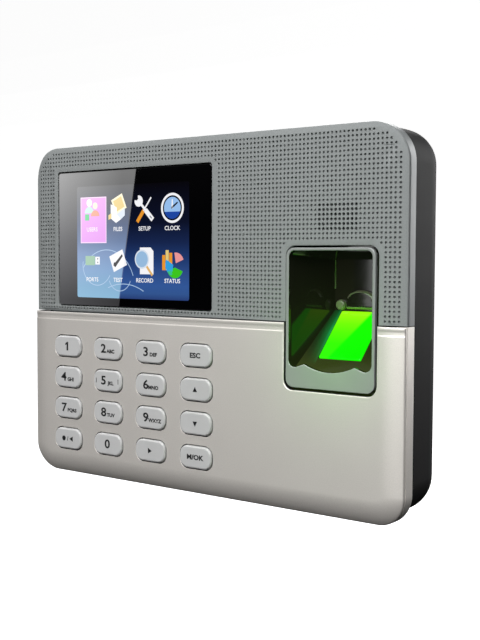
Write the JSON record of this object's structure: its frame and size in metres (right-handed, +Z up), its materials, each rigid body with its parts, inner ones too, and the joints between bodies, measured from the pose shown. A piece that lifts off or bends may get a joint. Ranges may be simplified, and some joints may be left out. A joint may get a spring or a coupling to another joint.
{
  "type": "fingerprint scanner terminal",
  "caption": "Wall-mounted fingerprint scanner terminal with a colour display, a keypad of travelling keys, a lit finger well, front covers, a rear housing and a steel wall plate.",
  "frame": {"origin": "the middle of the wall plate's back face, which lies on the wall", "axes": "+X to the right as seen from the front, +Z up, +Y into the wall; the display and keys face -Y"},
  "size_m": [0.17, 0.0318, 0.1295],
  "materials": {
    "silver_paint": "satin silver paint on a moulded cover",
    "grey_plastic": "satin mid-grey moulded plastic",
    "black_housing": "fine-textured black moulded plastic",
    "surround_plastic": "satin light-grey moulded plastic",
    "key_plastic": "satin light-grey plastic with black legends",
    "key_rubber": "grey silicone rubber",
    "well_gloss": "polished black plastic",
    "lens_black": "polished black-backed lens",
    "sensor_green_glass": "polished glass lit green from behind",
    "white_plastic": "matt white plastic",
    "black_inner": "matt black moulded plastic",
    "cable_black": "matt black insulation",
    "board_green": "green solder mask",
    "flex_film": "amber polyimide film",
    "plate_steel": "zinc-plated sheet steel",
    "socket_metal": "tinned sheet steel",
    "cell_steel": "bright stainless steel",
    "screw_steel": "dark zinc-plated steel"
  },
  "bodies": {
    "terminal": {"rear_housing": "black_housing", "wall_plate": "plate_steel", "upper_cover": "grey_plastic", "lower_cover": "silver_paint", "grille_plate": "grey_plastic", "display_lens": "lens_black", "display_panel": "lens_black", "display_backlight": "white_plastic", "display_bracket": "plate_steel", "display_flex": "flex_film", "keypad_mat": "key_rubber", "keypad_board": "board_green", "keypad_flex": "flex_film", "sensor_surround": "surround_plastic", "finger_well": "well_gloss", "sensor_glass": "sensor_green_glass", "sensor_light_panel": "white_plastic", "sensor_housing": "black_inner", "sensor_camera": "lens_black", "sensor_board": "board_green", "sensor_cable": "flex_film", "speaker": "black_inner", "speaker_clip": "black_inner", "speaker_lead": "cable_black", "main_board": "board_green", "processor_chip": "black_inner", "cell_holder": "black_inner", "coin_cell": "cell_steel", "network_socket": "socket_metal", "usb_socket": "socket_metal", "power_socket": "black_inner", "tamper_switch": "black_inner", "case_screw_1": "screw_steel", "case_screw_2": "screw_steel", "case_screw_3": "screw_steel", "case_screw_4": "screw_steel", "case_screw_5": "screw_steel", "case_screw_6": "screw_steel", "board_screw_1": "screw_steel", "board_screw_2": "screw_steel", "board_screw_3": "screw_steel", "board_screw_4": "screw_steel", "lock_screw": "screw_steel"},
    "key_1_body": {"key_1": "key_plastic"},
    "key_2_body": {"key_2": "key_plastic"},
    "key_3_body": {"key_3": "key_plastic"},
    "key_esc_body": {"key_esc": "key_plastic"},
    "key_4_body": {"key_4": "key_plastic"},
    "key_5_body": {"key_5": "key_plastic"},
    "key_6_body": {"key_6": "key_plastic"},
    "key_up_body": {"key_up": "key_plastic"},
    "key_7_body": {"key_7": "key_plastic"},
    "key_8_body": {"key_8": "key_plastic"},
    "key_9_body": {"key_9": "key_plastic"},
    "key_down_body": {"key_down": "key_plastic"},
    "key_power_left_body": {"key_power_left": "key_plastic"},
    "key_0_body": {"key_0": "key_plastic"},
    "key_right_body": {"key_right": "key_plastic"},
    "key_ok_body": {"key_ok": "key_plastic"},
    "tamper_plunger_body": {"tamper_plunger": "white_plastic"}
  },
  "joints": [
    {"name": "key_1_press", "type": "slide", "parent": "terminal", "child": "key_1_body", "axis": [0, 1, 0], "range_m": [0, 0.0008], "stiffness_N_per_m": 600},
    {"name": "key_2_press", "type": "slide", "parent": "terminal", "child": "key_2_body", "axis": [0, 1, 0], "range_m": [0, 0.0008], "stiffness_N_per_m": 600},
    {"name": "key_3_press", "type": "slide", "parent": "terminal", "child": "key_3_body", "axis": [0, 1, 0], "range_m": [0, 0.0008], "stiffness_N_per_m": 600},
    {"name": "key_esc_press", "type": "slide", "parent": "terminal", "child": "key_esc_body", "axis": [0, 1, 0], "range_m": [0, 0.0008], "stiffness_N_per_m": 600},
    {"name": "key_4_press", "type": "slide", "parent": "terminal", "child": "key_4_body", "axis": [0, 1, 0], "range_m": [0, 0.0008], "stiffness_N_per_m": 600},
    {"name": "key_5_press", "type": "slide", "parent": "terminal", "child": "key_5_body", "axis": [0, 1, 0], "range_m": [0, 0.0008], "stiffness_N_per_m": 600},
    {"name": "key_6_press", "type": "slide", "parent": "terminal", "child": "key_6_body", "axis": [0, 1, 0], "range_m": [0, 0.0008], "stiffness_N_per_m": 600},
    {"name": "key_up_press", "type": "slide", "parent": "terminal", "child": "key_up_body", "axis": [0, 1, 0], "range_m": [0, 0.0008], "stiffness_N_per_m": 600},
    {"name": "key_7_press", "type": "slide", "parent": "terminal", "child": "key_7_body", "axis": [0, 1, 0], "range_m": [0, 0.0008], "stiffness_N_per_m": 600},
    {"name": "key_8_press", "type": "slide", "parent": "terminal", "child": "key_8_body", "axis": [0, 1, 0], "range_m": [0, 0.0008], "stiffness_N_per_m": 600},
    {"name": "key_9_press", "type": "slide", "parent": "terminal", "child": "key_9_body", "axis": [0, 1, 0], "range_m": [0, 0.0008], "stiffness_N_per_m": 600},
    {"name": "key_down_press", "type": "slide", "parent": "terminal", "child": "key_down_body", "axis": [0, 1, 0], "range_m": [0, 0.0008], "stiffness_N_per_m": 600},
    {"name": "key_power_left_press", "type": "slide", "parent": "terminal", "child": "key_power_left_body", "axis": [0, 1, 0], "range_m": [0, 0.0008], "stiffness_N_per_m": 600},
    {"name": "key_0_press", "type": "slide", "parent": "terminal", "child": "key_0_body", "axis": [0, 1, 0], "range_m": [0, 0.0008], "stiffness_N_per_m": 600},
    {"name": "key_right_press", "type": "slide", "parent": "terminal", "child": "key_right_body", "axis": [0, 1, 0], "range_m": [0, 0.0008], "stiffness_N_per_m": 600},
    {"name": "key_ok_press", "type": "slide", "parent": "terminal", "child": "key_ok_body", "axis": [0, 1, 0], "range_m": [0, 0.0008], "stiffness_N_per_m": 600},
    {"name": "tamper_plunger_press", "type": "slide", "parent": "terminal", "child": "tamper_plunger_body", "axis": [0, -1, 0], "range_m": [0, 0.001], "stiffness_N_per_m": 300}
  ]
}
